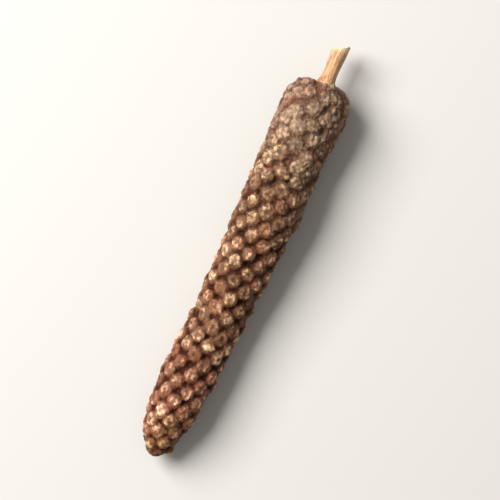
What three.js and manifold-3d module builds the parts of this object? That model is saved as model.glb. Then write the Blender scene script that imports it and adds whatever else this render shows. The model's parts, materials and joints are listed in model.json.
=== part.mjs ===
// A dried long pepper, the fruiting spike of a climbing pepper vine.
// Hundreds of small berries grow in a spiral round one axis and are fused into one slim,
// slightly bent body. A short broken stalk is left at its base. It lies on its side.
// Millimetres, +Z up, +X from the stalk to the tip. The origin is on the surface that the
// spike lies on, under the middle of its bounding box.
import * as THREE from "three";
import { ConvexHull } from "three/addons/math/ConvexHull.js";
import { mergeVertices } from "three/addons/utils/BufferGeometryUtils.js";
import Module from "manifold-3d";

// Spike: outline over the berries' tops
const SPIKE_LENGTH = 44.4;
const BASE_DOME = 4.4; // length in which the base rounds off
const BASE_FULLNESS = 3; // power of its curve: 2 is an ellipse, more is squarer
const TIP_DOME = 7.5; // length in which the blunt tip rounds off
// Pairs of distance from the base and size there.
const GIRTH = [[0, 3.8], [4.5, 3.86], [9, 3.7], [14, 3.8], [20, 3.55], [28, 3.22], [36, 3.22], [44.4, 3]];
const SIDEWAYS = [[0, 0.5], [8, 0.36], [17, 0.36], [24, 0.2], [29, -0.03], [35, -0.42], [44.4, -0.58]];

// Underside: it has dried flat under the spike's weight, and it rests on three of its berries.
const PRESSED = 0.6; // how far the round underside would reach below the surface
const FOOT_HEIGHT = 0.18; // of those three berries, below the other pressed ones
const FOOT_REACH = 0.8; // how much of the skin round its top each of them has
// Pairs of distance from the base and place sideways. The berry nearest to each is a foot.
const FOOT_PLACES = [[14.2, 2], [13.7, -1.3], [37, -0.8]];

// Berries
const SKIN_BANDS = 1500; // that the skin's area is added up in, from base to tip
const SKIN_PER_BERRY = 3.28; // square millimetres
const BERRY_TURN = Math.PI * (3 - Math.sqrt(5)); // the golden angle, from one berry to the next
const FIRST_TURN = 0.6; // where round the axis the spiral starts
const GROOVE_DROP = 0.36; // between two berries, below the line from top to top
const PIT_DROP = 0.52; // where three berries meet
const SHOULDER_SHARE = 0.64; // how far out from a berry's top its shoulder is
const SHOULDER_DROP = 0.09;
const PLACE_SCATTER = 0.1;
const HEIGHT_SCATTER = 0.09;
const SEED = 41;
// The berries at the base are shrunken and stand out less, and those at the tip stand out more.
const RELIEF = [[0, 0.6], [4, 0.62], [14, 1], [36, 1], [44.4, 1.3]];

// Stalk
const STALK_RADIUS = 0.8;
const STALK_OUT = 3.6; // from the base's middle to the stalk's shorter side
const STALK_SLANT = 0.87; // its torn end is this much longer on the +Y side
const STALK_FLARE = 1.22; // how much wider the torn end is
const FLARE_START = 1.6; // from the base's middle
const STALK_RIDGES = 5;
const RIDGE_SHARE = 0.06; // height of a ridge as a share of the radius
const RIDGE_TWIST = 0.25; // radians that the ridges wind in a millimetre
const STALK_SIDES = 20;
const STALK_STEPS = [0.8, 0, -0.8, -1.6, -2.4, -3]; // where it has rings between its ends
const TORN_JAG = 0.12; // every other side of the torn end is this much longer
const TORN_HOLLOW = 0.15; // how far the middle of the torn end is sunk
const SOCKET_DEPTH = 2.4;
const SOCKET_RADIUS = 0.96;
const SOCKET_GAP = 0.3; // left between the stalk's end and the bottom of its socket
const SOCKET_MOUTH = 2; // how far the cut for it starts outside the base's middle
const COLLAR_SKIN = 5.4; // square millimetres at the base that no berry grows on
const COLLAR_DROP = 0.3; // how far the collar round the stalk lies below the berries' tops

const SAME_POINT = 1e-5; // points closer than this are one

// A smooth function through pairs of distance and value
function smooth(pairs) {
  const curve = new THREE.CubicInterpolant(pairs.map((p) => p[0]), pairs.map((p) => p[1]), 1);
  return (distance) => curve.evaluate(distance)[0];
}

const girthAt = smooth(GIRTH);
const sidewaysAt = smooth(SIDEWAYS);
const reliefAt = smooth(RELIEF);

function radiusAt(distance) {
  const fromBase = Math.min(1, distance / BASE_DOME);
  const fromTip = Math.min(1, (SPIKE_LENGTH - distance) / TIP_DOME);
  const base = (1 - (1 - fromBase) ** BASE_FULLNESS) ** (1 / BASE_FULLNESS);
  return girthAt(distance) * base * Math.sqrt(1 - (1 - fromTip) ** 2);
}

// Short bands of the skin from base to tip. Each has its middle, its slope, the skin's area up
// to its far edge and the stretch, which is the length of the skin counted in radii.
function skinBands() {
  const edgeAt = (i) => (SPIKE_LENGTH * (1 - Math.cos((Math.PI * i) / SKIN_BANDS))) / 2;
  const bands = [];
  let area = 0;
  let stretch = 0;
  for (let i = 0; i < SKIN_BANDS; i++) {
    const [near, far] = [edgeAt(i), edgeAt(i + 1)];
    const distance = (near + far) / 2;
    const radius = (radiusAt(near) + radiusAt(far)) / 2;
    const climb = radiusAt(far) - radiusAt(near);
    const length = Math.hypot(far - near, climb);
    area += 2 * Math.PI * radius * length;
    stretch += length / radius;
    bands.push({ distance, radius, along: (far - near) / length, out: climb / length, area, stretch });
  }
  return bands;
}

// A repeatable run of numbers from -1 to 1
function scatterFrom(seed) {
  let state = seed;
  return () => {
    state = (state * 1664525 + 1013904223) % 2 ** 32;
    return (2 * state) / 2 ** 32 - 1;
  };
}

// Where each berry's top is and which way it points. The spiral gives every berry the same area
// of skin. The first site is the bare collar round the stalk.
function berrySites() {
  const bands = skinBands();
  const whole = bands[bands.length - 1];
  const berriesSkin = whole.area - COLLAR_SKIN;
  const count = Math.round(berriesSkin / SKIN_PER_BERRY);
  const scatter = scatterFrom(SEED);
  const middle = whole.stretch / 2;
  const backwards = new THREE.Vector3(-1, 0, 0);
  const sites = [{ top: new THREE.Vector3(COLLAR_DROP, 0, 0), out: backwards, ball: backwards.clone() }];
  for (let k = 0; k < count; k++) {
    const share = (k + 0.5) / count;
    const area = COLLAR_SKIN + share * berriesSkin + scatter() * PLACE_SCATTER * SKIN_PER_BERRY;
    const band = bands.find((b) => b.area >= area) ?? whole;
    const turn = FIRST_TURN + k * BERRY_TURN + (scatter() * PLACE_SCATTER) / band.radius;
    const round = new THREE.Vector3(0, Math.cos(turn), Math.sin(turn));
    const out = new THREE.Vector3(-band.out, 0, 0).addScaledVector(round, band.along);
    const top = new THREE.Vector3(band.distance, 0, 0).addScaledVector(round, band.radius);
    top.addScaledVector(out, (scatter() - 1) * HEIGHT_SCATTER);
    // The same berry on a ball, by a mapping that keeps angles
    const ball = new THREE.Vector3(Math.tanh(band.stretch - middle), 0, 0);
    ball.addScaledVector(round, 1 / Math.cosh(band.stretch - middle));
    sites.push({ top, out, ball });
  }
  return sites;
}

// Triples of neighbouring sites. On a ball they are the faces of the sites' convex hull.
function neighbourTriples(sites) {
  const numbers = new Map(sites.map((site, i) => [site.ball, i]));
  const hull = new ConvexHull().setFromPoints(sites.map((site) => site.ball));
  return hull.faces.map((face) => {
    const triple = [];
    let edge = face.edge;
    do {
      triple.push(numbers.get(edge.head().point));
      edge = edge.next;
    } while (edge !== face.edge);
    return triple;
  });
}

// The point between some sites, a stated drop below the middle of their tops
function between(sites, drop) {
  const place = new THREE.Vector3();
  const out = new THREE.Vector3();
  for (const site of sites) {
    place.addScaledVector(site.top, 1 / sites.length);
    out.add(site.out);
  }
  return place.addScaledVector(out.normalize(), -drop * reliefAt(place.x));
}

// The skin of the straight spike. Each berry is a low dome: its top, six shoulders round it, a
// groove towards each neighbour and a pit in each corner.
function berrySkin(sites, triples) {
  const points = [];
  const numbers = new Map();
  const faces = [];
  const keep = (key, make) => {
    if (!numbers.has(key)) {
      numbers.set(key, points.length / 3);
      points.push(...make().toArray());
    }
    return numbers.get(key);
  };
  const topOf = (i) => keep("top " + i, () => sites[i].top);
  const grooveOf = (i, j) => {
    const key = "groove " + Math.min(i, j) + " " + Math.max(i, j);
    return keep(key, () => between([sites[i], sites[j]], GROOVE_DROP));
  };
  const shoulderOf = (i, j) =>
    keep("shoulder " + i + " " + j, () => {
      const towards = between([sites[i], sites[j]], 0);
      const place = sites[i].top.clone().lerp(towards, SHOULDER_SHARE);
      return place.addScaledVector(sites[i].out, -SHOULDER_DROP * reliefAt(place.x));
    });
  triples.forEach((triple, t) => {
    const pit = keep("pit " + t, () => between(triple.map((i) => sites[i]), PIT_DROP));
    for (let c = 0; c < 3; c++) {
      const [i, j, k] = [triple[c], triple[(c + 1) % 3], triple[(c + 2) % 3]];
      faces.push(topOf(i), shoulderOf(i, j), shoulderOf(i, k));
      faces.push(shoulderOf(i, j), grooveOf(i, j), pit);
      faces.push(shoulderOf(i, j), pit, shoulderOf(i, k));
      faces.push(shoulderOf(i, k), pit, grooveOf(i, k));
    }
  });
  return new THREE.BufferGeometry()
    .setAttribute("position", new THREE.Float32BufferAttribute(points, 3))
    .setIndex(faces);
}

// Where a point of the straight spike comes to lie, before its underside is pressed
function laidDown(point) {
  const height = point.z + girthAt(point.x) - PRESSED;
  return new THREE.Vector3(point.x, point.y + sidewaysAt(point.x), height);
}

// The tops of the three berries that it rests on
function feetOf(sites) {
  const tops = sites.map((site) => laidDown(site.top));
  return FOOT_PLACES.map(([x, y]) => {
    const place = new THREE.Vector3(x, y, 0);
    return tops.reduce((best, top) => (top.distanceTo(place) < best.distanceTo(place) ? top : best));
  });
}

// Bends a shape with the spike's axis, sets it down and presses its underside flat round its feet
function layDown(geometry, feet) {
  const place = geometry.getAttribute("position");
  for (let i = 0; i < place.count; i++) {
    const laid = laidDown(new THREE.Vector3().fromBufferAttribute(place, i));
    const atFoot = feet.some((foot) => Math.hypot(foot.x - laid.x, foot.y - laid.y) < FOOT_REACH);
    place.setXYZ(i, laid.x, laid.y, Math.max(atFoot ? 0 : FOOT_HEIGHT, laid.z));
  }
  return geometry;
}

// The stalk: a ridged rod from the bottom of its socket to a flared, slanted, torn end
function stalkShape() {
  const inside = SOCKET_DEPTH - SOCKET_GAP;
  const stations = [inside, ...STALK_STEPS, -STALK_OUT];
  const points = [];
  const faces = [];
  stations.forEach((x, row) => {
    const flare = THREE.MathUtils.smoothstep(-x, FLARE_START, STALK_OUT);
    const isTorn = row === stations.length - 1;
    for (let side = 0; side < STALK_SIDES; side++) {
      const turn = (2 * Math.PI * side) / STALK_SIDES;
      const ridge = 1 + RIDGE_SHARE * Math.cos(STALK_RIDGES * turn + RIDGE_TWIST * x);
      const radius = STALK_RADIUS * ridge * (1 + (STALK_FLARE - 1) * flare);
      const slant = (STALK_SLANT * (1 + Math.cos(turn))) / 2;
      const torn = isTorn ? slant + (side % 2) * TORN_JAG : 0;
      points.push(x - torn, radius * Math.cos(turn), radius * Math.sin(turn));
    }
  });
  const inner = points.length / 3;
  points.push(inside, 0, 0);
  points.push(-STALK_OUT - STALK_SLANT / 2 + TORN_HOLLOW, 0, 0);
  for (let side = 0; side < STALK_SIDES; side++) {
    const next = (side + 1) % STALK_SIDES;
    for (let row = 0; row < stations.length - 1; row++) {
      const [a, b] = [row * STALK_SIDES + side, row * STALK_SIDES + next];
      const [c, d] = [a + STALK_SIDES, b + STALK_SIDES];
      faces.push(a, d, b, a, c, d);
    }
    const last = (stations.length - 1) * STALK_SIDES;
    faces.push(inner, side, next);
    faces.push(inner + 1, last + next, last + side);
  }
  return new THREE.BufferGeometry()
    .setAttribute("position", new THREE.Float32BufferAttribute(points, 3))
    .setIndex(faces);
}

// The plain round hole that the stalk stands in, and its mouth outside the base
function socketShape() {
  const length = SOCKET_DEPTH + SOCKET_MOUTH;
  const hole = new THREE.CylinderGeometry(SOCKET_RADIUS, SOCKET_RADIUS, length, STALK_SIDES);
  return hole.rotateZ(Math.PI / 2).translate((SOCKET_DEPTH - SOCKET_MOUTH) / 2, 0, 0);
}

const wasm = await Module();
wasm.setup();

function toSolid(geometry) {
  const bare = geometry.clone();
  bare.deleteAttribute("normal");
  bare.deleteAttribute("uv");
  const merged = mergeVertices(bare, SAME_POINT);
  return new wasm.Manifold(
    new wasm.Mesh({
      numProp: 3,
      vertProperties: merged.getAttribute("position").array,
      triVerts: new Uint32Array(merged.index.array),
    }),
  );
}

function toGeometry(solid) {
  const mesh = solid.getMesh();
  return new THREE.BufferGeometry()
    .setAttribute("position", new THREE.BufferAttribute(mesh.vertProperties, 3))
    .setIndex(new THREE.BufferAttribute(mesh.triVerts, 1));
}

const sites = berrySites();
const feet = feetOf(sites);
const skin = layDown(berrySkin(sites, neighbourTriples(sites)), feet);
const socket = layDown(socketShape(), feet);
const spikeShape = toGeometry(toSolid(skin).subtract(toSolid(socket)));

function named(name, geometry, color, roughness) {
  geometry.computeVertexNormals();
  const material = new THREE.MeshStandardMaterial({ color, roughness, metalness: 0 });
  const mesh = new THREE.Mesh(geometry, material);
  mesh.name = name;
  return mesh;
}

const pepper = new THREE.Group();
pepper.add(named("spike", spikeShape, "#7b6250", 0.85));
pepper.add(named("stalk", layDown(stalkShape(), feet), "#cda878", 0.7));

// The origin goes under the middle of the bounding box.
const box = new THREE.Box3().setFromObject(pepper);
const middle = box.getCenter(new THREE.Vector3());
pepper.position.set(-middle.x, -middle.y, 0);

export default pepper;
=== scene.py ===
# %% [markdown]
# A dried long pepper. It is the fruiting spike of a climbing vine: a few hundred berries, each
# about 2 mm across, grow in a spiral round one axis and are fused into one slim body. A short
# torn stalk is left at its base.
#
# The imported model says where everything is, so it is loaded first. Its box is kept, because the
# finished model has to stay inside it.

# %% Load the frame
import json
import math
import random

import bmesh
import bpy
import numpy as np
from mathutils import Matrix, Vector, kdtree

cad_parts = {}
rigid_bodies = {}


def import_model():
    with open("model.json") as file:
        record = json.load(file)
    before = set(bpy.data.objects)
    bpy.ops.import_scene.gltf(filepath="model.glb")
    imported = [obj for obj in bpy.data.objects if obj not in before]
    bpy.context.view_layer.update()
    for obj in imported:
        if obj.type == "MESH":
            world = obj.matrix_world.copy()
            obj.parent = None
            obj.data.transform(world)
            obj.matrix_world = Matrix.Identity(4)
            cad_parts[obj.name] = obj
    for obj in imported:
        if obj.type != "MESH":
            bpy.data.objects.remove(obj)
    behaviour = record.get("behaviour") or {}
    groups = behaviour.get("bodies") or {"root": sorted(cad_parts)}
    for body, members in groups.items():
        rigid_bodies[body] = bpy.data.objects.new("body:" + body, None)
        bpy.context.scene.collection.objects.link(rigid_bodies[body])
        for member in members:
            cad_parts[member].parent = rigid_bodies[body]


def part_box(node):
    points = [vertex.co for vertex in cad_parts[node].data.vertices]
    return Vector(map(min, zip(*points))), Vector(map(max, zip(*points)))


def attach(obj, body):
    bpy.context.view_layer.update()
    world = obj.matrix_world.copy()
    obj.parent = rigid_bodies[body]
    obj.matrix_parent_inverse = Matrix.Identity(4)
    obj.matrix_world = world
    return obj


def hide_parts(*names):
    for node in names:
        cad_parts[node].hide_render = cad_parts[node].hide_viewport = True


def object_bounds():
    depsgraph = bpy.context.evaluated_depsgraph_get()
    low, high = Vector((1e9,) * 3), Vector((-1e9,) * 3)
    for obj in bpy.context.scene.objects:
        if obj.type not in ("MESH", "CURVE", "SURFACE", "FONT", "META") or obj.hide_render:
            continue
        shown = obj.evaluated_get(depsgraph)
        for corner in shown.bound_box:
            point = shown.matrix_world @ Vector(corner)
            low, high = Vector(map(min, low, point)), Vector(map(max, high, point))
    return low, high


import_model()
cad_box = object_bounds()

MM = 0.001
print("the packed model is", [round(side / MM, 1) for side in cad_box[1] - cad_box[0]], "mm")

# %% [markdown]
# Two small helpers come first. Operators act on whatever is selected, and loading leaves the
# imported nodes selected, so each step starts by selecting one thing and nothing else. By hand you
# would click on vertices in edit mode. A script picks them by their place instead.


# %% Helpers for selecting
def only(*pieces):
    """Selects these pieces and nothing else, and makes the last one active."""
    bpy.ops.object.select_all(action="DESELECT")
    for piece in pieces:
        piece.select_set(True)
    bpy.context.view_layer.objects.active = pieces[-1]


def pick(test):
    """In edit mode, selects the vertices whose place passes the test."""
    mesh = bpy.context.object.data
    shape = bmesh.from_edit_mesh(mesh)
    shape.select_mode = {"VERT"}
    for vertex in shape.verts:
        vertex.select_set(bool(test(vertex.co)))
    shape.select_flush_mode()
    bmesh.update_edit_mesh(mesh)


bpy.ops.object.select_all(action="DESELECT")
print("nothing is selected now:", not bpy.context.selected_objects)

# %% [markdown]
# The spike is stout at its base, tapers to a blunt tip and bends a little. Its outline could be
# traced point by point, but a few pairs of a distance from the base and a size there are easier
# to read and to change. A smooth curve runs through each list of pairs. Its slope at a pair is the
# mean of the two straight lines that meet there. The pepper is modelled in millimetres, because
# its berries are so small, and brought to metres when it is done.

# %% The spike's driving sizes, and smooth curves through them
SPIKE_LENGTH = 44.4
BASE_DOME = 4.4  # length in which the base rounds off
BASE_FULLNESS = 3  # power of its curve: 2 is an ellipse, more is squarer
TIP_DOME = 7.5  # length in which the blunt tip rounds off
PRESSED = 0.6  # how far the round underside would reach below the surface
# Pairs of distance from the base and size there
GIRTH = [[0, 3.8], [4.5, 3.86], [9, 3.7], [14, 3.8], [20, 3.55], [28, 3.22], [36, 3.22], [44.4, 3]]
SIDEWAYS = [[0, 0.5], [8, 0.36], [17, 0.36], [24, 0.2], [29, -0.03], [35, -0.42], [44.4, -0.58]]
# The same for how far berries stand out, as a share of the usual: less where they are shrunken
RELIEF = [[0, 0.55], [8, 0.6], [16, 1], [36, 1], [44.4, 1.3]]


def smooth(pairs):
    """A smooth function through pairs of distance and value."""
    place, value = np.array(pairs, float).T
    chord = np.diff(value) / np.diff(place)
    slope = np.r_[chord[0], (chord[1:] + chord[:-1]) / 2, chord[-1]]

    def at(distance):
        distance = np.clip(distance, place[0], place[-1])
        i = np.clip(np.searchsorted(place, distance, side="right") - 1, 0, len(chord) - 1)
        width = place[i + 1] - place[i]
        t = (distance - place[i]) / width
        from_near = (1 + 2 * t) * (1 - t) ** 2 * value[i] + t * (1 - t) ** 2 * width * slope[i]
        return from_near + t**2 * (3 - 2 * t) * value[i + 1] - t**2 * (1 - t) * width * slope[i + 1]

    return at


girth_at, sideways_at, relief_at = smooth(GIRTH), smooth(SIDEWAYS), smooth(RELIEF)


def radius_at(distance):
    """From the axis to the berries' tops, with a round base and a blunt tip."""
    from_base = np.minimum(1, distance / BASE_DOME)
    from_tip = np.minimum(1, (SPIKE_LENGTH - distance) / TIP_DOME)
    base = (1 - (1 - from_base) ** BASE_FULLNESS) ** (1 / BASE_FULLNESS)
    return girth_at(distance) * base * np.sqrt(1 - (1 - from_tip) ** 2)


print("radius every 10 mm:", [round(float(radius_at(x)), 2) for x in (2, 10, 20, 30, 40)])

# %% [markdown]
# A plant starts each new berry at the golden angle from the last one, about 137.5 degrees. That
# packs them evenly, and the eye reads rows that wind both ways. A grid of rows and columns would
# be simpler, but its berries would crowd at the tip. So each berry gets the same area of skin, and
# the spiral climbs faster where the spike is thin. Each place is scattered a little, by the same
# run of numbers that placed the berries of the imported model.

# %% Where the berries grow
SKIN_PER_BERRY = 3.28  # square millimetres
COLLAR_SKIN = 5.4  # square millimetres round the stalk that no berry grows on
BERRY_TURN = math.pi * (3 - math.sqrt(5))  # the golden angle
FIRST_TURN = 0.6  # where round the spike the spiral starts
PLACE_SCATTER = 0.1  # of a berry's skin along the spike, and millimetres round it
HEIGHT_SCATTER = 0.09  # millimetres
SEED = 41
BANDS = 1500  # that the skin's area is added up in, from base to tip


def scatter_from(seed):
    """A repeatable run of numbers from -1 to 1."""
    state = seed
    while True:
        state = (state * 1664525 + 1013904223) % 2**32
        yield 2 * state / 2**32 - 1


def berry_sites():
    """The berries' tops and which way they point, on the straight spike."""
    edges = SPIKE_LENGTH * (1 - np.cos(np.pi * np.arange(BANDS + 1) / BANDS)) / 2
    rim = radius_at(edges)
    radius = (rim[1:] + rim[:-1]) / 2
    length = np.hypot(np.diff(edges), np.diff(rim))
    along, climb = np.diff(edges) / length, np.diff(rim) / length
    area = np.cumsum(2 * np.pi * radius * length)
    berries_skin = area[-1] - COLLAR_SKIN
    count = round(berries_skin / SKIN_PER_BERRY)
    scatter = scatter_from(SEED)
    tops, outs = [], []
    for k in range(count):
        share = (k + 0.5) / count
        moved = next(scatter) * PLACE_SCATTER * SKIN_PER_BERRY
        band = min(np.searchsorted(area, COLLAR_SKIN + share * berries_skin + moved), BANDS - 1)
        turn = FIRST_TURN + k * BERRY_TURN + next(scatter) * PLACE_SCATTER / radius[band]
        spoke = np.array([0, math.cos(turn), math.sin(turn)])
        out = spoke * along[band] - np.array([climb[band], 0, 0])
        middle = np.array([(edges[band] + edges[band + 1]) / 2, 0, 0])
        tops.append(middle + spoke * radius[band] + out * (next(scatter) - 1) * HEIGHT_SCATTER)
        outs.append(out)
    return np.array(tops), np.array(outs)


straight_tops, outs = berry_sites()
print(len(straight_tops), "berries on the straight spike")

# %% [markdown]
# The real spike grew a little bent and lies on its side. Bending it comes after placing the
# berries, because the rule for their places is simple only on a straight spike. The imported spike
# reaches as far as its furthest berries, and that gives the place in the frame.


# %% Bend the spike and lay it down
def laid_down(points):
    """The same points once the spike is bent and lies on its side."""
    moved = points.copy()
    moved[:, 1] += sideways_at(points[:, 0])
    moved[:, 2] += girth_at(points[:, 0]) - PRESSED
    return moved


tops = laid_down(straight_tops)
shift = np.array(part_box("spike")[1]) / MM - tops.max(0)
print("moved by", shift.round(3), "mm along and sideways")
shift[2] = 0
tops += shift

# %% [markdown]
# One berry is a ball that is squeezed from the sides and dries from the top. It could be carved
# out of the spike, but it is easier to model one and copy it. A ball of a few dozen faces is
# enough. Its shoulder is drawn in a little, and its top is lowered in different ways: some berries
# stay plump, some sink into a dish, some fold, and some keep a little beak where the flower was.

# %% Model one berry of each kind
BERRY_SEGMENTS = 8
BERRY_RINGS = 8
# In a berry of radius 1 whose top is at height 0
TOP_FROM = -0.5  # all that is higher is its top
SHOULDER_UNDER = -0.2  # the part of the top that is lower is its shoulder
SHOULDER_MIDDLE = 0, 0, -0.4
SHOULDER_SHARE = 0.97  # of the ball's own width
MIDDLE_REACH = 0.1
DISH_REACH = 0.6
FOLD_REACH = 0.3


def middle_of_top(place):
    """The one vertex at the very top."""
    return place.xy.length < MIDDLE_REACH and place.z > TOP_FROM


def whole_top(place):
    """The top and the ring round it."""
    return place.xy.length < DISH_REACH and place.z > TOP_FROM


def fold(place):
    """A strip across the top."""
    return abs(place.x) < FOLD_REACH and place.z > TOP_FROM


# For each kind, its share of the berries, and which parts of it are lowered and how far
KINDS = {
    "plump": (0.36, [(middle_of_top, 0.06)]),
    "beaked": (0.16, [(middle_of_top, -0.1)]),
    "dished": (0.3, [(whole_top, 0.08), (middle_of_top, 0.2)]),
    "folded": (0.18, [(fold, 0.14), (middle_of_top, 0.1)]),
}


def model_berry(name, dents):
    """A berry of radius 1 whose top is at the origin. Each dent is a test and a drop."""
    bpy.ops.mesh.primitive_uv_sphere_add(
        segments=BERRY_SEGMENTS, ring_count=BERRY_RINGS, radius=1, location=(0, 0, -1)
    )
    berry = bpy.context.object
    berry.name = name
    bpy.ops.object.transform_apply(location=True, rotation=True, scale=True)
    bpy.ops.object.mode_set(mode="EDIT")
    pick(lambda place: TOP_FROM < place.z < SHOULDER_UNDER)
    drawn_in = (SHOULDER_SHARE, SHOULDER_SHARE, 1)
    bpy.ops.transform.resize(value=drawn_in, center_override=SHOULDER_MIDDLE)
    for test, drop in dents:
        pick(test)
        bpy.ops.transform.translate(value=(0, 0, -drop))
    bpy.ops.object.mode_set(mode="OBJECT")
    return berry


kinds = [model_berry(name, dents) for name, (_, dents) in KINDS.items()]
kind_shares = [share for share, _ in KINDS.values()]
print([(kind.name, len(kind.data.polygons)) for kind in kinds])

# %% [markdown]
# Drying has moved each berry a little along the skin and sunk some of them, most of all near the
# stalk, where the berries are shrunken. Rows that are too even would look made. The places could
# be scattered once, in the spiral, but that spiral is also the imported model's, so the drying is a
# step of its own on top of it.

# %% Where each berry is after drying
SHRUNKEN = [[0, 0.32], [9, 0.26], [16, 0.08], [44.4, 0.08]]  # how far off its place a berry is
SUNKEN = 0.18  # how much lower the lowest berries are
NEARLY_ALONG = 0.1  # a berry whose skin runs this little along the spike is at its very end
chance = random.Random(SEED)
shrunken_at = smooth(SHRUNKEN)


def across(out):
    """Two directions along the skin: towards the tip, and round the spike."""
    to_tip = Vector((1, 0, 0)) - out * out.x
    if to_tip.length < NEARLY_ALONG:
        to_tip = Vector((0, 0, 1)) - out * out.z
    to_tip.normalize()
    return to_tip, out.cross(to_tip)


def dried_top(i):
    """Where the berry's top is after drying."""
    to_tip, around = across(Vector(outs[i]))
    way = to_tip * chance.uniform(-1, 1) + around * chance.uniform(-1, 1)
    slip = way * shrunken_at(straight_tops[i, 0])
    return tops[i] + np.array(slip) - outs[i] * SUNKEN * chance.random() ** 2


dried_tops = np.array([dried_top(i) for i in range(len(tops))])
slips = np.linalg.norm(dried_tops - tops, axis=1)
print("drying moved the berries by up to", slips.max().round(2), "mm")

# %% [markdown]
# The berries fill the skin because each one is squeezed by its neighbours. So each copy is
# stretched a little towards where its six neighbours are far and narrowed where they are near.
# The spread of the neighbours' places gives both directions and both widths. Neighbours at one
# distance all round have a spread of half its square, and the berry reaches half way to them.

# %% Copy the berries and squeeze each one between its neighbours
BERRY_SPREAD = 1.14  # of half the distance to its neighbours, so that berries run into each other
BERRY_DEPTH = 0.88  # from its top to its middle
SQUEEZE = 0.15  # how far its outline follows that of the room it has
SIZE_SCATTER = 0.07
LEAN_SCATTER = 0.2  # sideways part of the way that a berry points
NEIGHBOURS = 6
SPREAD_LIMITS = 0.9, 3.6  # square millimetres, so that no berry is pulled thin


def finder(points):
    """A tree that finds the points nearest to a place."""
    found = kdtree.KDTree(len(points))
    for i, point in enumerate(points):
        found.insert(point, i)
    found.balance()
    return found


def squeezed_axes(i):
    """The berry's two half widths along the skin, as vectors."""
    to_tip, around = across(Vector(outs[i]))
    found = berry_finder.find_n(dried_tops[i], NEIGHBOURS + 1)
    near = [place - Vector(dried_tops[i]) for place, j, _ in found if j != i]
    flat = np.array([(step.dot(to_tip), step.dot(around)) for step in near])
    spread, turn = np.linalg.eigh(flat.T @ flat / NEIGHBOURS)
    halves = np.sqrt(2 * np.clip(spread, *SPREAD_LIMITS)) / 2
    halves = BERRY_SPREAD * (halves * SQUEEZE + halves.mean() * (1 - SQUEEZE))
    return [(to_tip * turn[0, n] + around * turn[1, n]) * halves[n] for n in (0, 1)]


def copy_berry(i):
    """A copy of one of the kinds, leaning a little and squeezed into its place."""
    first, second = squeezed_axes(i)
    lean = (first * chance.uniform(-1, 1) + second * chance.uniform(-1, 1)) * LEAN_SCATTER
    depth = BERRY_DEPTH * float(relief_at(straight_tops[i, 0]))
    out = (Vector(outs[i]) + lean).normalized() * depth
    if first.cross(second).dot(out) < 0:
        second = -second
    size = 1 + chance.uniform(-SIZE_SCATTER, SIZE_SCATTER)
    kind = chance.choices(kinds, kind_shares)[0]
    berry = kind.copy()
    berry.data = kind.data.copy()
    bpy.context.collection.objects.link(berry)
    axes = Matrix((first * size, second * size, out)).transposed().to_4x4()
    berry.data.transform(Matrix.Translation(dried_tops[i]) @ axes)
    return berry


berry_finder = finder(dried_tops)
berries = [copy_berry(i) for i in range(len(tops))]
only(*kinds)
bpy.ops.object.delete()
print(len(berries), "berries placed")

# %% [markdown]
# Between the berries you look down on the flesh that joins them. Bigger berries would close the
# gaps too, but they would also flatten the rows. So the flesh is one long body a little below the
# berries' tops: a disc is extruded from station to station and resized at each one.

# %% The flesh between the berries
FLESH_DROP = 0.88  # below the berries' tops
FLESH_SIDES = 32
FLESH_ENDS = 0.35, 43.7
FLESH_STATIONS = 40
FLESH_THINNEST = 0.3


def flesh_station(share):
    """The middle and radius of the flesh there. Stations are closer where the ends round off."""
    distance = FLESH_ENDS[0] + (FLESH_ENDS[1] - FLESH_ENDS[0]) * (1 - math.cos(math.pi * share)) / 2
    centre = laid_down(np.array([[distance, 0.0, 0.0]]))[0] + shift
    radius = float(radius_at(distance)) - FLESH_DROP * float(relief_at(distance))
    return Vector(centre), max(FLESH_THINNEST, radius)


centre, radius = flesh_station(0)
bpy.ops.mesh.primitive_circle_add(
    vertices=FLESH_SIDES,
    radius=radius,
    fill_type="NGON",
    location=centre,
    rotation=(0, math.pi / 2, 0),
)
flesh = bpy.context.object
bpy.ops.object.transform_apply(location=True, rotation=True, scale=True)
bpy.ops.object.mode_set(mode="EDIT")
bpy.ops.mesh.select_all(action="SELECT")
for n in range(1, FLESH_STATIONS + 1):
    before, last_radius = centre, radius
    centre, radius = flesh_station(n / FLESH_STATIONS)
    bpy.ops.mesh.extrude_region_move(TRANSFORM_OT_translate={"value": centre - before})
    growth = radius / last_radius
    bpy.ops.transform.resize(value=(1, growth, growth), center_override=centre)
bpy.ops.mesh.select_all(action="SELECT")
bpy.ops.mesh.normals_make_consistent(inside=False)
bpy.ops.object.mode_set(mode="OBJECT")
print("flesh of", len(flesh.data.polygons), "faces")

# %% [markdown]
# Real berries share one skin. Joining the copies only puts them in one mesh, with their hidden
# halves still inside. A Boolean union of hundreds of balls is slow and fails easily, so a voxel
# remesh wraps them all in one closed skin, and a little smoothing takes away its steps. The remesh
# also wraps any hollow that is left between berries and flesh. You would never see those, but they
# don't belong in the mesh, so only what is linked to the tip is kept.

# %% Fuse the berries and the flesh into one skin
SKIN_VOXEL = 0.125
SKIN_SMOOTHING = {"factor": 0.5, "iterations": 2}


def finish_with(piece, kind, **settings):
    """Gives the piece a modifier with these settings, and applies it."""
    only(piece)
    modifier = piece.modifiers.new(kind.title(), kind)
    for name, value in settings.items():
        setattr(modifier, name, value)
    bpy.ops.object.modifier_apply(modifier=modifier.name)


def rows_of(piece, what):
    """The places ("co") or normals ("normal") of the piece's vertices, one row each."""
    rows = np.empty(len(piece.data.vertices) * 3)
    piece.data.vertices.foreach_get(what, rows)
    return rows.reshape(-1, 3)


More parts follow.
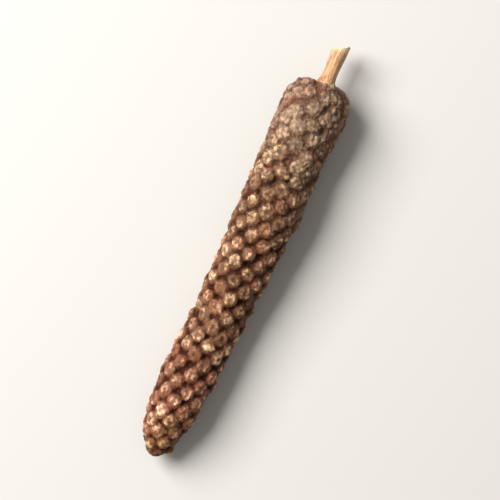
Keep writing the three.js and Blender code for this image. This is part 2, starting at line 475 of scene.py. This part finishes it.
only(*berries, flesh)
bpy.ops.object.join()
spike = bpy.context.object
spike.name = "pepper_spike"
finish_with(spike, "REMESH", mode="VOXEL", voxel_size=SKIN_VOXEL, use_smooth_shade=True)
wrapped = len(spike.data.vertices)
furthest = rows_of(spike, "co")[:, 0].max()
bpy.ops.object.mode_set(mode="EDIT")
pick(lambda place: place.x > furthest - SKIN_VOXEL)
bpy.ops.mesh.select_linked()
bpy.ops.mesh.select_all(action="INVERT")
bpy.ops.mesh.delete(type="VERT")
bpy.ops.object.mode_set(mode="OBJECT")
print(wrapped - len(spike.data.vertices), "vertices of closed hollows deleted")
finish_with(spike, "SMOOTH", **SKIN_SMOOTHING)

# %% [markdown]
# A dried skin is uneven twice over: whole groups of berries have sunk or risen, and each berry is
# wrinkled. Sculpting would take days, so two cloud patterns move the skin in and out. The fine one
# has sharp creases, and a vertex group makes it strongest on the shrunken berries near the stalk.
# How far it lifted each point is kept, because the colour needs it.

# %% Lumps and wrinkles
LUMP_SIZE = 3.2
LUMP_DEPTH = 0.32  # from the lowest to the highest
LUMP_LEVEL = 0.5  # of the pattern, at which the skin stays where it was
WRINKLE_SIZE = 0.6
WRINKLE_DEPTH = 0.3
WRINKLE_LEVEL = 0.3
WRINKLED = [[0, 1], [10, 1], [17, 0.62], [44.4, 0.62]]  # share of their depth along the spike

lumps = bpy.data.textures.new("lumps", "CLOUDS")
lumps.noise_scale = LUMP_SIZE
wrinkles = bpy.data.textures.new("wrinkles", "CLOUDS")
wrinkles.noise_scale = WRINKLE_SIZE
wrinkles.noise_type = "HARD_NOISE"
wrinkles.noise_depth = 1

depth = {"strength": LUMP_DEPTH, "mid_level": LUMP_LEVEL}
finish_with(spike, "DISPLACE", texture=lumps, texture_coords="LOCAL", **depth)
wrinkled_at = smooth(WRINKLED)
wrinkling = spike.vertex_groups.new(name="wrinkling")
distances = rows_of(spike, "co")[:, 0] - shift[0]
for distance in range(round(SPIKE_LENGTH) + 1):
    near = np.flatnonzero(np.round(distances.clip(0)) == distance)
    wrinkling.add(near.tolist(), float(wrinkled_at(distance)), "REPLACE")
unwrinkled, normals = rows_of(spike, "co"), rows_of(spike, "normal")
depth = {"strength": WRINKLE_DEPTH, "mid_level": WRINKLE_LEVEL, "vertex_group": wrinkling.name}
finish_with(spike, "DISPLACE", texture=wrinkles, texture_coords="LOCAL", **depth)
lift = ((rows_of(spike, "co") - unwrinkled) * normals).sum(1)
print("one skin of", len(spike.data.polygons), "faces")

# %% [markdown]
# The spike dried lying down, so its underside is pressed flat, and it rests on three berries that
# stand out a little. Cutting the underside off would leave an edge and a bare face. Instead,
# vertices below the surface are squashed onto it, in edit mode, by a resize with no height.

# %% Press the underside
FOOT_HEIGHT = 0.18  # of the three berries, below the other pressed ones
FOOT_REACH = 0.8  # how much of the skin round its top each of them has
FOOT_PLACES = [[14.2, 2], [13.7, -1.3], [37, -0.8]]  # along and sideways


def foot_top(place):
    """The top of the berry nearest to a place under the spike."""
    aim = Vector((place[0] + shift[0], place[1] + shift[1], 0))
    return Vector(top_finder.find(aim)[0])


top_finder = finder(tops)
feet = [foot_top(place) for place in FOOT_PLACES]


def at_foot(place):
    """Whether a place is on one of the three berries."""
    return any((place.xy - foot.xy).length < FOOT_REACH for foot in feet)


only(spike)
bpy.ops.object.mode_set(mode="EDIT")
pick(lambda place: place.z < FOOT_HEIGHT and not at_foot(place))
bpy.ops.transform.resize(value=(1, 1, 0), center_override=(0, 0, FOOT_HEIGHT))
pick(lambda place: place.z < 0 and at_foot(place))
bpy.ops.transform.resize(value=(1, 1, 0), center_override=(0, 0, 0))
bpy.ops.object.mode_set(mode="OBJECT")
print("it rests on berries at", [tuple(round(side, 1) for side in foot.xy) for foot in feet])

# %% [markdown]
# The stalk is a bundle of tough fibres that was torn off the vine. A plain rod would look sawn. So
# a disc is extruded along it, wide where its root is sunk in the spike, because the two grew as
# one, and a little wider again at the torn end. Two insets sink the middle of that end, where the
# soft pith has gone.

# %% Model the stalk
STALK_RADIUS = 0.8
STALK_SIDES = 40
# Pairs of the distance from the base and the width there as a share of its own
STALK_STATIONS = [
    (0.9, 1.55), (0.35, 1.42), (0.05, 1.22), (-0.25, 1.08), (-0.7, 1), (-1.2, 0.98),
    (-1.7, 1), (-2.1, 1.03), (-2.6, 1.05), (-3, 1.09), (-3.35, 1.12), (-3.6, 1.14),
]
PITH_STEPS = [(0.16, 0.3), (0.22, 0.2)]  # how far in, and how deep

stalk_axis = Vector(laid_down(np.array([[0.0, 0.0, 0.0]]))[0] + shift)


def on_stalk(distance):
    """The middle of the stalk at this distance from the spike's base."""
    return Vector((stalk_axis.x + distance, stalk_axis.y, stalk_axis.z))


distance, width = STALK_STATIONS[0]
bpy.ops.mesh.primitive_circle_add(
    vertices=STALK_SIDES,
    radius=STALK_RADIUS * width,
    fill_type="NGON",
    location=on_stalk(distance),
    rotation=(0, math.pi / 2, 0),
)
stalk = bpy.context.object
stalk.name = "pepper_stalk"
bpy.ops.object.transform_apply(location=True, rotation=True, scale=True)
bpy.ops.object.mode_set(mode="EDIT")
bpy.ops.mesh.select_all(action="SELECT")
for next_distance, next_width in STALK_STATIONS[1:]:
    step = (next_distance - distance, 0, 0)
    bpy.ops.mesh.extrude_region_move(TRANSFORM_OT_translate={"value": step})
    growth = next_width / width
    bpy.ops.transform.resize(value=(1, growth, growth), center_override=on_stalk(next_distance))
    distance, width = next_distance, next_width
for inwards, depth in PITH_STEPS:
    bpy.ops.mesh.inset(thickness=inwards)
    bpy.ops.transform.translate(value=(depth, 0, 0))
print("stalk of", len(STALK_STATIONS), "rings, still in edit mode")

# %% [markdown]
# Five ribs and many finer fibres run along the stalk, and at the torn end some fibres stand out
# further than others. Each side of the stalk is one run of vertices, so it is picked by its angle
# round the stalk and moved as a whole. That keeps every rib and fibre in one line from end to end,
# which a noise pattern wouldn't.

# %% Ribs, fibres and the torn end
RIB_COUNT = 5
RIB_HEIGHT = 0.05  # as a share of the radius
FIBRE_SCATTER = 0.045
STALK_SLANT = 0.87  # how much longer the stalk is on one side
TORN_REACH = 0.55  # from the last ring, which takes the sunk middle along with it
TORN_SCATTER = 0.22
TORN_SHARES = -0.3, 1  # of the scatter: few fibres are longer, and most are torn off shorter
SAME_PLACE = 0.01  # places closer than this are one


def side_of(place):
    """Which side of the stalk a place is on, counted round it."""
    turn = math.atan2(place.z - stalk_axis.z, place.y - stalk_axis.y)
    return round(turn / (2 * math.pi) * STALK_SIDES) % STALK_SIDES


torn_end = stalk_axis.x + STALK_STATIONS[-1][0]
for side in range(STALK_SIDES):
    turn = 2 * math.pi * side / STALK_SIDES
    rib = 1 + RIB_HEIGHT * math.cos(RIB_COUNT * turn) + chance.uniform(-1, 1) * FIBRE_SCATTER
    pick(lambda place: side_of(place) == side and (place - stalk_axis).yz.length > SAME_PLACE)
    bpy.ops.transform.resize(value=(1, rib, rib), center_override=stalk_axis)
    slant = STALK_SLANT * (1 + math.cos(turn)) / 2
    pick(lambda place: side_of(place) == side and place.x < torn_end + TORN_REACH)
    bpy.ops.transform.translate(value=(-slant, 0, 0))
    pick(lambda place: side_of(place) == side and place.x < torn_end - slant + SAME_PLACE)
    bpy.ops.transform.translate(value=(chance.uniform(*TORN_SHARES) * TORN_SCATTER, 0, 0))
bpy.ops.mesh.select_all(action="SELECT")
bpy.ops.mesh.normals_make_consistent(inside=False)
bpy.ops.object.mode_set(mode="OBJECT")
finish_with(stalk, "SUBSURF", levels=1, render_levels=1)
bpy.ops.object.shade_smooth()
print("stalk of", len(stalk.data.polygons), "faces")

# %% [markdown]
# Both pieces are brought from millimetres to metres. The scale could stay on the objects, but then
# patterns in millimetres would come out a thousand times too small. So it is applied, and the
# objects sit at the origin, unscaled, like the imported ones.

# %% Bring both pieces to metres
for piece in (spike, stalk):
    only(piece)
    piece.scale = (MM, MM, MM)
    bpy.ops.object.transform_apply(location=True, rotation=True, scale=True)
print("spike", [round(side / MM, 2) for side in spike.dimensions], "mm")

# %% [markdown]
# The skin's colour follows the berries, and no pattern knows where those are. So the mesh carries
# four numbers at every vertex. The first is how near it is to the top of its own berry, from 0 in
# the gaps to 1 on the top. The second is a tone that is the same all over one berry and different
# from its neighbours'. The third is how many millimetres it lies to the side of the scar on its
# berry's top. The fourth is how high it is in its wrinkle, from 0 in the crease.

# %% Store what the colour needs at each point
GAP_DEPTH = 0.7  # below its top, where a berry meets the gap
MIDDLE_SHARE = 0.7  # of the depth of a berry, where the berry that a point belongs to is looked for


def store(piece, name, values):
    """Keeps one number at every vertex, under a name that a material can read."""
    attribute = piece.data.attributes.new(name, "FLOAT", "POINT")
    attribute.data.foreach_set("value", values)


places = rows_of(spike, "co") / MM
middle_finder = finder(dried_tops - outs * BERRY_DEPTH * MIDDLE_SHARE)
owner = np.array([middle_finder.find(place)[1] for place in places])
from_top = places - dried_tops[owner]
above_top = (from_top * outs[owner]).sum(1)
beside_top = np.linalg.norm(from_top - outs[owner] * above_top[:, None], axis=1)
depth_share = above_top / relief_at(straight_tops[owner, 0]) / GAP_DEPTH
tones = np.array([chance.random() for _ in tops])
store(spike, "berry_height", np.clip(1 + depth_share, 0, 1))
store(spike, "berry_tone", tones[owner])
store(spike, "scar_distance", beside_top)
store(spike, "wrinkle_height", np.clip(lift / WRINKLE_DEPTH + WRINKLE_LEVEL, 0, 1))
print("four numbers stored for", len(places), "vertices")

# %% [markdown]
# Colours are given as hex values, as a colour picker shows them, and turned into the linear
# numbers that the shaders work with. One function adds a node with its settings and its inputs.
# An input may be a value or another node's output, and inputs may be named or given in the order
# that the node has them. Every finish ends in one Principled shader.


# %% Helpers for materials
def colour(hex_value):
    """An sRGB hex colour as linear red, green, blue and alpha."""
    parts = [int(hex_value[n : n + 2], 16) / 255 for n in (1, 3, 5)]
    return (*[c / 12.92 if c <= 0.04045 else ((c + 0.055) / 1.055) ** 2.4 for c in parts], 1)


def set_stops(ramp, stops):
    """Makes a colour ramp run through pairs of place and hex colour."""
    while len(ramp.elements) < len(stops):
        ramp.elements.new(1)
    for element, (place, hex_value) in zip(ramp.elements, stops):
        element.position = place
        element.color = colour(hex_value)


def add_node(tree, kind, inputs=(), stops=None, **settings):
    """Adds a node, sets it, and fills its inputs, a list or dict, with values or links."""
    made = tree.nodes.new("ShaderNode" + kind)
    for name, value in settings.items():
        setattr(made, name, value)
    if stops:
        set_stops(made.color_ramp, stops)
    filled = inputs if isinstance(inputs, dict) else dict(enumerate(inputs))
    for name, value in filled.items():
        if isinstance(value, bpy.types.NodeSocket):
            tree.links.new(value, made.inputs[name])
        else:
            made.inputs[name].default_value = value
    return made


def give_finish(piece, name, design):
    """Gives the piece a material. The design fills its node tree and returns the shader's inputs."""
    made = bpy.data.materials.new(name)
    made.use_nodes = True
    tree = made.node_tree
    tree.nodes.clear()
    shader = add_node(tree, "BsdfPrincipled", design(tree))
    add_node(tree, "OutputMaterial", {"Surface": shader.outputs["BSDF"]})
    piece.data.materials.clear()
    piece.data.materials.append(made)
    print(name, "on", piece.name, "with", len(tree.nodes), "nodes")


def per_metre(size_in_mm):
    """A pattern's scale, from the size of one of its marks."""
    return 1 / (size_in_mm * MM)


FACTOR, MIX_A, MIX_B, MIX_RESULT = 0, 6, 7, 2  # the colour sockets of a Mix node
print("white is", colour("#ffffff"))

# %% [markdown]
# The spike's finish is dried fruit skin, shrunk onto the berries by the sun and rubbed in the
# sack. To the eye that is a matt surface with a thin coat of dust. It is grey-brown near the
# stalk, brown in the middle and redder towards the tip, because that end ripened further. The gaps
# are painted nearly black as painted shade, the flanks are brown, and the tops are pale from wear
# and a painted highlight, with a small dark scar where the flower was. A painted picture could give
# all this on one side only. Patterns and the four stored numbers give it all round.

# %% Sizes and colours of the dried skin
SKIN_IOR = 1.45  # as wax and dry plant matter have
SKIN_SHINE = 0.12  # of 0.5 on a clean surface, because dust takes most of it
SKIN_ROUGHNESS = 0.5, 0.72
# The size of each pattern's marks in millimetres, and how many finer layers it has. Real grain of
# 0.05 mm is half a pixel of the picture, so it is drawn as coarse as it needs to show.
PATTERNS = {
    "patches": (5.5, 3),  # a few berries that ripened alike
    "blotches": (2.4, 3),  # about one berry
    "mottle": (0.42, 4),  # scurf and dust on one berry
    "grain": (0.15, 3),
}
MOTTLE_DEPTH = 0.1
GRAIN_DEPTH = 0.05
# Pairs of the place along the spike, from 0 at its base to 1 at its tip, and the colour there
# The gap colours are painted shade: nearly black down between the berries.
PAINTED_GAP_SHADE_COLOURS = [(0.15, "#573e2f"), (0.34, "#33170b"), (0.8, "#2e1007")]
FLANK_COLOURS = [
    (0.15, "#785f4f"), (0.34, "#674934"), (0.62, "#6c4a34"), (0.85, "#784f3b"), (0.97, "#634128"),
]
# The pale top colours are wear and a painted highlight on each berry's top.
WORN_AND_HIGHLIGHT_COLOURS = [
    (0.15, "#927863"), (0.34, "#b49072"), (0.62, "#c6a184"), (0.85, "#d8af94"), (0.97, "#aa8560"),
]
print({name: size for name, (size, _) in PATTERNS.items()}, "mm")

# %% [markdown]
# The four stored numbers and four noise patterns are read once and used by all that follows.


# %% What the skin's colour and bump are made from
def read_skin(tree):
    """The place, the four stored numbers and the four patterns, by name."""
    seen = {"place": add_node(tree, "TexCoord").outputs["Object"]}
    for name in ("berry_height", "berry_tone", "scar_distance", "wrinkle_height"):
        seen[name] = add_node(tree, "Attribute", attribute_name=name).outputs["Fac"]
    for name, (size, layers) in PATTERNS.items():
        inputs = {"Vector": seen["place"], "Scale": per_metre(size), "Detail": layers}
        seen[name] = add_node(tree, "TexNoise", inputs).outputs["Fac"]
    return seen


print("the skin reads four stored numbers and", len(PATTERNS), "patterns")

# %% [markdown]
# A colour is chosen twice: by the place along the spike, with patches that blur where one colour
# ends, and by the height on the berry, from the painted shade of the gap up the flank to the pale
# top, which is wear and a painted highlight. Where the top is pale isn't the height alone, or every
# berry would get the same pale cap. The mottle, the wrinkles and the blotches are added to it
# first. Round the root of the stalk the skin is paler.

# %% The skin's colour
PATCH_SHIFT = 0.5  # of the spike's length, by which patches move a colour in all
FLANK_HEIGHTS = 0.25, 0.75  # on the berry, where the painted shade of the gap ends and the flank's colour begins
WEAR_AND_HIGHLIGHT = {"mottle": 0.8, "wrinkle_height": 0.35, "blotches": 0.7}  # what is added to the height
WORN_AND_HIGHLIGHT_FROM = 1.56, 2.04  # of that sum, where the pale of wear and painted highlight starts and where it is full
TINTS = [(0.36, "#ffeadf"), (0.5, "#ffffff"), (0.64, "#f3f5e4")]  # warm and cool blotches
ROOT_COLOUR = "#a48a68"
ROOT_DEPTH = 0.6  # of the middle of the pale ring
ROOT_REACH = 1.0, 2.3
ROOT_SHARE = 0.75


def skin_colour(tree, seen):
    """The colour by ripeness, painted gap shade, wear and painted highlight, paler round the stalk
    and tinted in blotches.
    """
    x = add_node(tree, "SeparateXYZ", [seen["place"]]).outputs["X"]
    ends = [corner.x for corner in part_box("spike")]
    along = add_node(tree, "MapRange", [x, *ends, 0, 1]).outputs["Result"]
    inputs = [seen["patches"], PATCH_SHIFT, -PATCH_SHIFT / 2]
    patched = add_node(tree, "Math", inputs, operation="MULTIPLY_ADD").outputs["Value"]
    ripeness = add_node(tree, "Math", [along, patched], operation="ADD").outputs["Value"]
    gap_shade, flank, worn_and_highlight = [
        add_node(tree, "ValToRGB", [ripeness], stops).outputs["Color"]
        for stops in (PAINTED_GAP_SHADE_COLOURS, FLANK_COLOURS, WORN_AND_HIGHLIGHT_COLOURS)
    ]

    inputs = [seen["berry_height"], *FLANK_HEIGHTS, 0, 1]
    rising = add_node(tree, "MapRange", inputs, interpolation_type="SMOOTHSTEP").outputs["Result"]
    # Where the top is pale from wear and a painted highlight: its height, with mottle, wrinkles and
    # blotches added.
    wear_and_highlight_level = seen["berry_height"]
    for name, share in WEAR_AND_HIGHLIGHT.items():
        inputs = [seen[name], share, wear_and_highlight_level]
        wear_and_highlight_level = add_node(tree, "Math", inputs, operation="MULTIPLY_ADD").outputs["Value"]
    inputs = [wear_and_highlight_level, *WORN_AND_HIGHLIGHT_FROM, 0, 1]
    dust_and_highlight = add_node(tree, "MapRange", inputs, interpolation_type="SMOOTHSTEP").outputs["Result"]

    root = on_stalk(ROOT_DEPTH) * MM
    inputs = [seen["place"], root]
    from_root = add_node(tree, "VectorMath", inputs, operation="DISTANCE").outputs["Value"]
    inputs = [from_root, ROOT_REACH[0] * MM, ROOT_REACH[1] * MM, ROOT_SHARE, 0]
    root_share = add_node(tree, "MapRange", inputs).outputs["Result"]

    tint = add_node(tree, "ValToRGB", [seen["blotches"]], TINTS).outputs["Color"]
    # From the painted shade of the gaps, up the flank, to tops pale from wear and a painted
    # highlight.
    layers = [
        (rising, flank, "MIX"),
        (dust_and_highlight, worn_and_highlight, "MIX"),
        (root_share, colour(ROOT_COLOUR), "MIX"),
        (1, tint, "MULTIPLY"),
    ]
    mixed = gap_shade
    for factor, layer, blend in layers:
        inputs = {FACTOR: factor, MIX_A: mixed, MIX_B: layer}
        made = add_node(tree, "Mix", inputs, data_type="RGBA", blend_type=blend)
        mixed = made.outputs[MIX_RESULT]
    return mixed


print("colours from", PAINTED_GAP_SHADE_COLOURS[-1][1], "in the gaps to", WORN_AND_HIGHLIGHT_COLOURS[-2][1], "on worn tops")

# %% [markdown]
# The colour is then made lighter or darker by five factors. Each berry differs a little from the
# next, creases are darkened as painted shade, and the scar, the mottle and the grain do the rest.
# The scar's edge is ragged. How dark it is comes from the berry's tone, multiplied and cut to its
# fraction, which gives a second number for each berry that looks unrelated to the first.

# %% How light the skin is
# What is read, the range of it that counts, and the factor at both ends of that range
LIGHTS = {
    "berry_tone": (0, 1, 0.94, 1.25),
    # Darker down in the creases: painted shade.
    "wrinkle_height": (0.02, 0.3, 0.7, 1.05),
    "mottle": (0.34, 0.66, 0.76, 1.22),
    "grain": (0.3, 0.7, 0.78, 1.2),
}
SCAR_EDGE = 0.14, 0.42  # millimetres from its middle, between which it fades
SCAR_RAGGED = 0.3  # millimetres that its edge wanders
SCAR_LIGHT = 0.6, 0.97  # factor of the darkest and of the faintest
DARKEST_SCARS = 0.3  # share of the scars that are as dark as can be
TONE_SHUFFLE = 7.3


def skin_light(tree, seen):
    """The product of the five factors."""
    inputs = [seen["berry_tone"], TONE_SHUFFLE]
    shuffled = add_node(tree, "Math", inputs, operation="MULTIPLY").outputs["Value"]
    own = add_node(tree, "Math", [shuffled], operation="FRACT").outputs["Value"]
    scar = add_node(tree, "MapRange", [own, DARKEST_SCARS, 1, *SCAR_LIGHT]).outputs["Result"]
    inputs = [seen["mottle"], -SCAR_RAGGED, seen["scar_distance"]]
    ragged = add_node(tree, "Math", inputs, operation="MULTIPLY_ADD").outputs["Value"]
    inputs = [ragged, *[edge - SCAR_RAGGED / 2 for edge in SCAR_EDGE], scar, 1]
    light = add_node(tree, "MapRange", inputs, interpolation_type="SMOOTHSTEP").outputs["Result"]
    for name, numbers in LIGHTS.items():
        factor = add_node(tree, "MapRange", [seen[name], *numbers]).outputs["Result"]
        light = add_node(tree, "Math", [light, factor], operation="MULTIPLY").outputs["Value"]
    return light


print(len(LIGHTS) + 1, "factors make the skin lighter or darker")

# %% [markdown]
# Last come the roughness, which the mottle varies, and the relief that is finer than the mesh: the
# mottle and on top of it the grain, as bumps. A finer mesh would show them too, with ten times as
# many faces.

# %% Dried berry skin
MOTTLE_RANGE = 0.3, 0.7  # that nearly all of the mottle is in


def berry_skin(tree):
    """Matt and dusty, with painted shade in the gaps, and tops pale from wear and a painted
    highlight.
    """
    seen = read_skin(tree)
    inputs = {FACTOR: 1, MIX_A: skin_colour(tree, seen), MIX_B: skin_light(tree, seen)}
    toned = add_node(tree, "Mix", inputs, data_type="RGBA", blend_type="MULTIPLY")
    rough = add_node(tree, "MapRange", [seen["mottle"], *MOTTLE_RANGE, *SKIN_ROUGHNESS])
    inputs = {"Height": seen["mottle"], "Distance": MOTTLE_DEPTH * MM, "Strength": 1}
    uneven = add_node(tree, "Bump", inputs).outputs["Normal"]
    inputs = {"Height": seen["grain"], "Distance": GRAIN_DEPTH * MM, "Strength": 1, "Normal": uneven}
    grained = add_node(tree, "Bump", inputs).outputs["Normal"]
    return {
        "Base Color": toned.outputs[MIX_RESULT],
        "Roughness": rough.outputs["Result"],
        "IOR": SKIN_IOR,
        "Specular IOR Level": SKIN_SHINE,
        "Normal": grained,
    }


give_finish(spike, "dried_berry_skin", berry_skin)

# %% [markdown]
# The stalk is dry plant fibre, like straw: pale, matt, and streaked along its length. The streaks
# could be drawn one by one, but a noise that is stretched along the stalk gives hundreds at once.
# A weak stain breaks them up, and the torn end is paler, because it was inside until it tore.

# %% Straw of the stalk
STREAK_WIDTH = 0.12  # real fibres of 0.04 mm wouldn't show, so it is as coarse as it needs to be
STREAK_STRETCH = 14  # times longer than wide
STREAK_DEPTH = 0.08
STAIN_SIZE = 1.3
STAIN_SHARE = 0.6
STRAW_COLOURS = [(0.3, "#835d3b"), (0.48, "#b88d64"), (0.7, "#cfa87d")]
STAIN_COLOURS = [(0.35, "#b98d62"), (0.6, "#ffffff")]
TORN_COLOUR = "#ecd6b0"
TORN_FROM = 3.3  # from the base's middle
TORN_FADE = 0.5  # length in which it comes in
TORN_SHARE = 0.55
STRAW_IOR = 1.5  # as cellulose has
STRAW_ROUGHNESS = 0.7


def stalk_straw(tree):
    """Pale, matt and streaked along its length, and paler still at the torn end."""
    place = add_node(tree, "TexCoord").outputs["Object"]
    inputs = {"Vector": place, "Scale": (1 / STREAK_STRETCH, 1, 1)}
    squeezed = add_node(tree, "Mapping", inputs).outputs["Vector"]
    inputs = {"Vector": squeezed, "Scale": per_metre(STREAK_WIDTH), "Detail": 3}
    streaks = add_node(tree, "TexNoise", inputs).outputs["Fac"]
    inputs = {"Vector": place, "Scale": per_metre(STAIN_SIZE), "Detail": 3}
    stains = add_node(tree, "TexNoise", inputs).outputs["Fac"]
    straw = add_node(tree, "ValToRGB", [streaks], STRAW_COLOURS).outputs["Color"]
    aged = add_node(tree, "ValToRGB", [stains], STAIN_COLOURS).outputs["Color"]
    inputs = {FACTOR: STAIN_SHARE, MIX_A: straw, MIX_B: aged}
    stained = add_node(tree, "Mix", inputs, data_type="RGBA", blend_type="MULTIPLY")
    x = add_node(tree, "SeparateXYZ", [place]).outputs["X"]
    end = on_stalk(-TORN_FROM).x * MM
    inputs = [x, end, end - TORN_FADE * MM, 0, TORN_SHARE]
    fresh = add_node(tree, "MapRange", inputs).outputs["Result"]
    inputs = {FACTOR: fresh, MIX_A: stained.outputs[MIX_RESULT], MIX_B: colour(TORN_COLOUR)}
    paler = add_node(tree, "Mix", inputs, data_type="RGBA").outputs[MIX_RESULT]
    inputs = {"Height": streaks, "Distance": STREAK_DEPTH * MM, "Strength": 1}
    fibrous = add_node(tree, "Bump", inputs).outputs["Normal"]
    return {"Base Color": paler, "Roughness": STRAW_ROUGHNESS, "IOR": STRAW_IOR, "Normal": fibrous}


give_finish(stalk, "stalk_straw", stalk_straw)

# %% [markdown]
# The pepper lies on matt paper, a plain pale floor that isn't part of it. It is wide enough that
# its edges never show.

# %% Floor
FLOOR_SIDE = 3  # metres
FLOOR_COLOUR = "#b8b5b0"  # under the studio light it comes out nearly white
FLOOR_ROUGHNESS = 0.9


def pale_paper(tree):
    """Matt and plain, with nothing on it to look at."""
    return {"Base Color": colour(FLOOR_COLOUR), "Roughness": FLOOR_ROUGHNESS}


bpy.ops.mesh.primitive_plane_add(size=FLOOR_SIDE, location=(0, 0, 0))
floor = bpy.context.object
floor.name = "floor"
give_finish(floor, "pale_paper", pale_paper)

# %% [markdown]
# The camera looks straight down and is turned so that the stalk points up to the right. It could
# stand close by with a wide lens, but then the middle of the spike would look stouter than its
# ends. So it is far above, with a long lens.

# %% Camera
VIEW_TURN = math.radians(113.7)
PICTURE_WIDTH = 54 * MM
LENS = 180
SENSOR = 36
NEAREST = 0.01  # what is closer to the camera isn't drawn

middle = (cad_box[0] + cad_box[1]) / 2
camera_height = LENS * PICTURE_WIDTH / SENSOR
camera_place = (middle.x, middle.y, camera_height)
bpy.ops.object.camera_add(location=camera_place, rotation=(0, 0, VIEW_TURN))
camera = bpy.context.object
camera.data.lens = LENS
camera.data.sensor_width = SENSOR
camera.data.clip_start = NEAREST
bpy.context.scene.camera = camera
bpy.context.scene.view_settings.view_transform = "Standard"
print("camera at", round(camera_height, 3), "m")

# %% [markdown]
# The light is one large soft box from the upper left of the picture, which rounds each berry, and
# a weak even light from all round, which keeps the gaps readable. A small lamp would draw hard
# shadows between the berries.

# %% Light
KEY_DISTANCE = 0.42  # metres from the pepper
KEY_SIDE = 0.27
KEY_POWER = 4.4  # watts
KEY_FROM = (-0.8, 0.55, 0.95)  # right, up and towards the camera, in the picture
FILL_STRENGTH = 0.4
FILL_COLOUR = "#faf7f2"


def in_picture(right, up, towards):
    """A direction given as it looks in the picture, as one in the frame."""
    return Matrix.Rotation(VIEW_TURN, 3, "Z") @ Vector((right, up, towards))


world = bpy.data.worlds.new("even_light")
world.use_nodes = True
fill = world.node_tree.nodes["Background"]
fill.inputs["Color"].default_value = colour(FILL_COLOUR)
fill.inputs["Strength"].default_value = FILL_STRENGTH
bpy.context.scene.world = world

key_direction = in_picture(*KEY_FROM).normalized()
bpy.ops.object.light_add(type="AREA", location=middle + key_direction * KEY_DISTANCE)
key = bpy.context.object
key.name = "soft_box"
key.rotation_euler = key_direction.to_track_quat("Z", "Y").to_euler()
key.data.size = KEY_SIDE
key.data.energy = KEY_POWER
print("soft box of", KEY_POWER, "W at", KEY_DISTANCE, "m")

# %% [markdown]
# Last, each piece is attached to the body that it rides on, and the imported node that it stands
# for is hidden.

# %% Tie the pieces to the frame
for piece, node, finish in ((spike, "spike", "berry_skin"), (stalk, "stalk", "stalk_straw")):
    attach(piece, "root")
    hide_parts(node)
